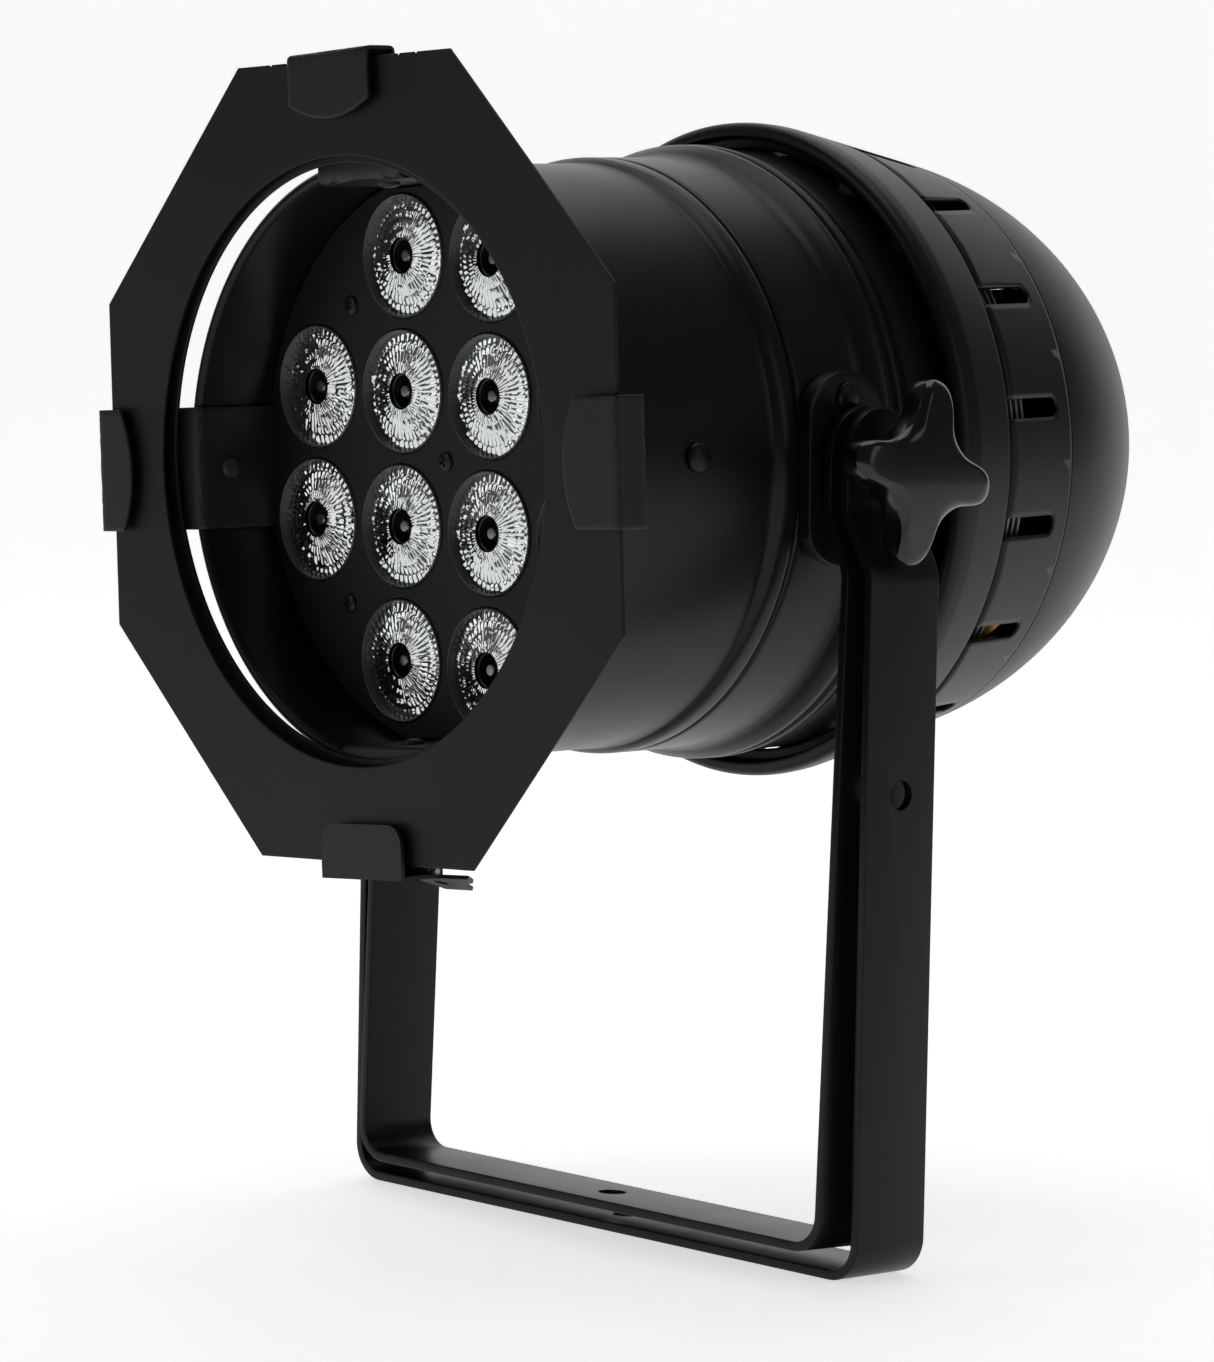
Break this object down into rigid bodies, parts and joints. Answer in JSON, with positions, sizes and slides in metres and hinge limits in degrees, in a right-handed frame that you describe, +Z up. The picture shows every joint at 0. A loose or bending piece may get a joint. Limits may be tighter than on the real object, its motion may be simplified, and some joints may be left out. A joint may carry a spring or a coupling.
{
  "type": "par can stage light",
  "caption": "Round stage par light on a double U bracket, with an octagonal colour frame in front clips, star-knob tilt locks and a vented rounded rear shell.",
  "frame": {"origin": "under the outer bracket's bar, at the centre of the hole it bolts to a stand or hook through", "axes": "+Z up, the light shines towards -Y, +X is to the right seen from the front of the light, along the pivot axis"},
  "size_m": [0.2576, 0.2856, 0.3654],
  "materials": {
    "satin_black_paint": "satin black paint",
    "can_paint": "satin black paint on a spun tube",
    "rear_shell_paint": "satin black paint",
    "frame_black": "matt black",
    "clip_grey": "satin dark grey",
    "plate_black": "matt black",
    "lens_clear": "clear moulding",
    "board_green": "solder mask",
    "fin_aluminium": "plain",
    "zinc_plate": "zinc plated",
    "washer_rubber": "matt",
    "knob_black": "gloss black",
    "display_dark": "dark window"
  },
  "bodies": {
    "outer_bracket": {"outer_bracket": "satin_black_paint", "arm_spacer_right": "zinc_plate", "arm_spacer_left": "zinc_plate", "knob_washer_right": "zinc_plate", "knob_washer_left": "zinc_plate"},
    "head": {"front_can": "can_paint", "middle_can": "can_paint", "rear_ring": "rear_shell_paint", "vent_ring": "rear_shell_paint", "rear_dome": "rear_shell_paint", "front_plate": "plate_black", "lens_01": "lens_clear", "lens_02": "lens_clear", "lens_03": "lens_clear", "lens_04": "lens_clear", "lens_05": "lens_clear", "lens_06": "lens_clear", "lens_07": "lens_clear", "lens_08": "lens_clear", "lens_09": "lens_clear", "lens_10": "lens_clear", "lens_11": "lens_clear", "lens_12": "lens_clear", "led_board": "board_green", "heat_sink": "fin_aluminium", "power_supply": "fin_aluminium", "control_panel": "plate_black", "display_board": "display_dark", "data_input": "knob_black", "data_output": "knob_black", "power_input": "knob_black", "power_output": "knob_black", "colour_frame": "frame_black", "clip_top": "clip_grey", "clip_right": "clip_grey", "clip_left": "clip_grey", "latch_base": "clip_grey", "latch_pin": "zinc_plate", "can_rivet_top": "satin_black_paint", "can_rivet_right": "satin_black_paint", "can_rivet_left": "satin_black_paint", "can_rivet_bottom": "satin_black_paint", "pivot_plate_right": "satin_black_paint", "plate_rivet_top_right": "satin_black_paint", "plate_rivet_bottom_right": "satin_black_paint", "pivot_washer_right": "washer_rubber", "pivot_bolt_right": "zinc_plate", "pivot_plate_left": "satin_black_paint", "plate_rivet_top_left": "satin_black_paint", "plate_rivet_bottom_left": "satin_black_paint", "pivot_washer_left": "washer_rubber", "pivot_bolt_left": "zinc_plate"},
    "inner_bracket": {"inner_bracket": "satin_black_paint"},
    "knob_right": {"knob_right": "knob_black"},
    "knob_left": {"knob_left": "knob_black"},
    "frame_latch": {"frame_latch": "clip_grey"},
    "button_1": {"button_1": "knob_black"},
    "button_2": {"button_2": "knob_black"},
    "button_3": {"button_3": "knob_black"},
    "button_4": {"button_4": "knob_black"}
  },
  "joints": [
    {"name": "head_tilt", "type": "hinge", "parent": "outer_bracket", "child": "head", "pos_m": [0, 0, 0.2423], "axis": [1, 0, 0], "range_deg": [-100, 48]},
    {"name": "inner_bracket_swing", "type": "hinge", "parent": "head", "child": "inner_bracket", "pos_m": [0, 0, 0.2423], "axis": [1, 0, 0], "range_deg": [-45, 180]},
    {"name": "knob_right_turn", "type": "hinge", "parent": "outer_bracket", "child": "knob_right", "pos_m": [0.1101, 0, 0.2423], "axis": [1, 0, 0], "range_deg": [0, 360]},
    {"name": "knob_left_turn", "type": "hinge", "parent": "outer_bracket", "child": "knob_left", "pos_m": [-0.1101, 0, 0.2423], "axis": [-1, 0, 0], "range_deg": [0, 360]},
    {"name": "latch_swing", "type": "hinge", "parent": "head", "child": "frame_latch", "pos_m": [0.00871, -0.10259, 0.11928], "axis": [0.9974, -0.0011, 0.0715], "range_deg": [0, 48], "stiffness_Nm_per_rad": 0.1, "springref_deg": -20.05},
    {"name": "button_1_press", "type": "slide", "parent": "head", "child": "button_1", "axis": [0, -0.9999, -0.0148], "range_m": [0, 0.001], "stiffness_N_per_m": 800, "springref_m": -0.0006},
    {"name": "button_2_press", "type": "slide", "parent": "head", "child": "button_2", "axis": [0, -0.9999, -0.0148], "range_m": [0, 0.001], "stiffness_N_per_m": 800, "springref_m": -0.0006},
    {"name": "button_3_press", "type": "slide", "parent": "head", "child": "button_3", "axis": [0, -0.9999, -0.0148], "range_m": [0, 0.001], "stiffness_N_per_m": 800, "springref_m": -0.0006},
    {"name": "button_4_press", "type": "slide", "parent": "head", "child": "button_4", "axis": [0, -0.9999, -0.0148], "range_m": [0, 0.001], "stiffness_N_per_m": 800, "springref_m": -0.0006}
  ]
}
